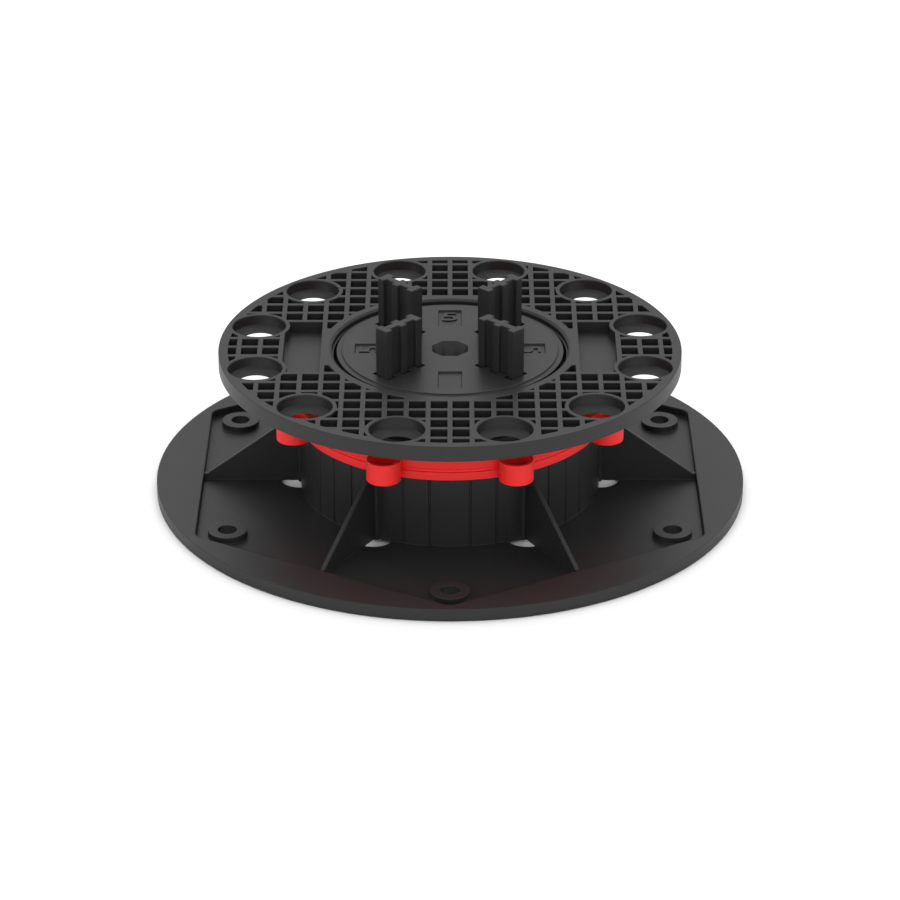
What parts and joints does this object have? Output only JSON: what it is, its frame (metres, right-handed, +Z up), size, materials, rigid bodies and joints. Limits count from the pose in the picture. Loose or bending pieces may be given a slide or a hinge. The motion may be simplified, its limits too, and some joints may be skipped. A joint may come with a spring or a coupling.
{
  "type": "decking pedestal",
  "caption": "Adjustable dark grey decking pedestal with a round base, a red lobed collar that lifts the grid head, and upright spacer tabs on a turning disc.",
  "frame": {"origin": "centre of the base's underside", "axes": "+Z up along the stem; +X and +Y along the rows of the head's square grid, with the tabs standing on the diagonals between them"},
  "size_m": [0.1972, 0.1972, 0.0662],
  "materials": {
    "dark_plastic": "matte",
    "red_plastic": "satin"
  },
  "bodies": {
    "base": {"base": "dark_plastic"},
    "collar": {"adjusting_collar": "red_plastic"},
    "head": {"head": "dark_plastic"},
    "disc": {"spacer_disc": "dark_plastic", "spacer_tab_back_right": "dark_plastic", "spacer_tab_back_left": "dark_plastic", "spacer_tab_front_left": "dark_plastic", "spacer_tab_front_right": "dark_plastic"}
  },
  "joints": [
    {"name": "collar_turn", "type": "hinge", "parent": "base", "child": "collar", "pos_m": [0, 0, 0.0261], "axis": [0, 0, 1], "range_deg": [-900, 540]},
    {"name": "head_lift", "type": "slide", "parent": "base", "child": "head", "axis": [0, 0, 1], "range_m": [-0.009, 0.015]},
    {"name": "disc_turn", "type": "hinge", "parent": "head", "child": "disc", "pos_m": [0, 0, 0.042], "axis": [0, 0, 1], "continuous": true}
  ],
  "couplings": [
    {"joint": "head_lift", "follows": "collar_turn", "m_per_rad": -0.00095493}
  ]
}
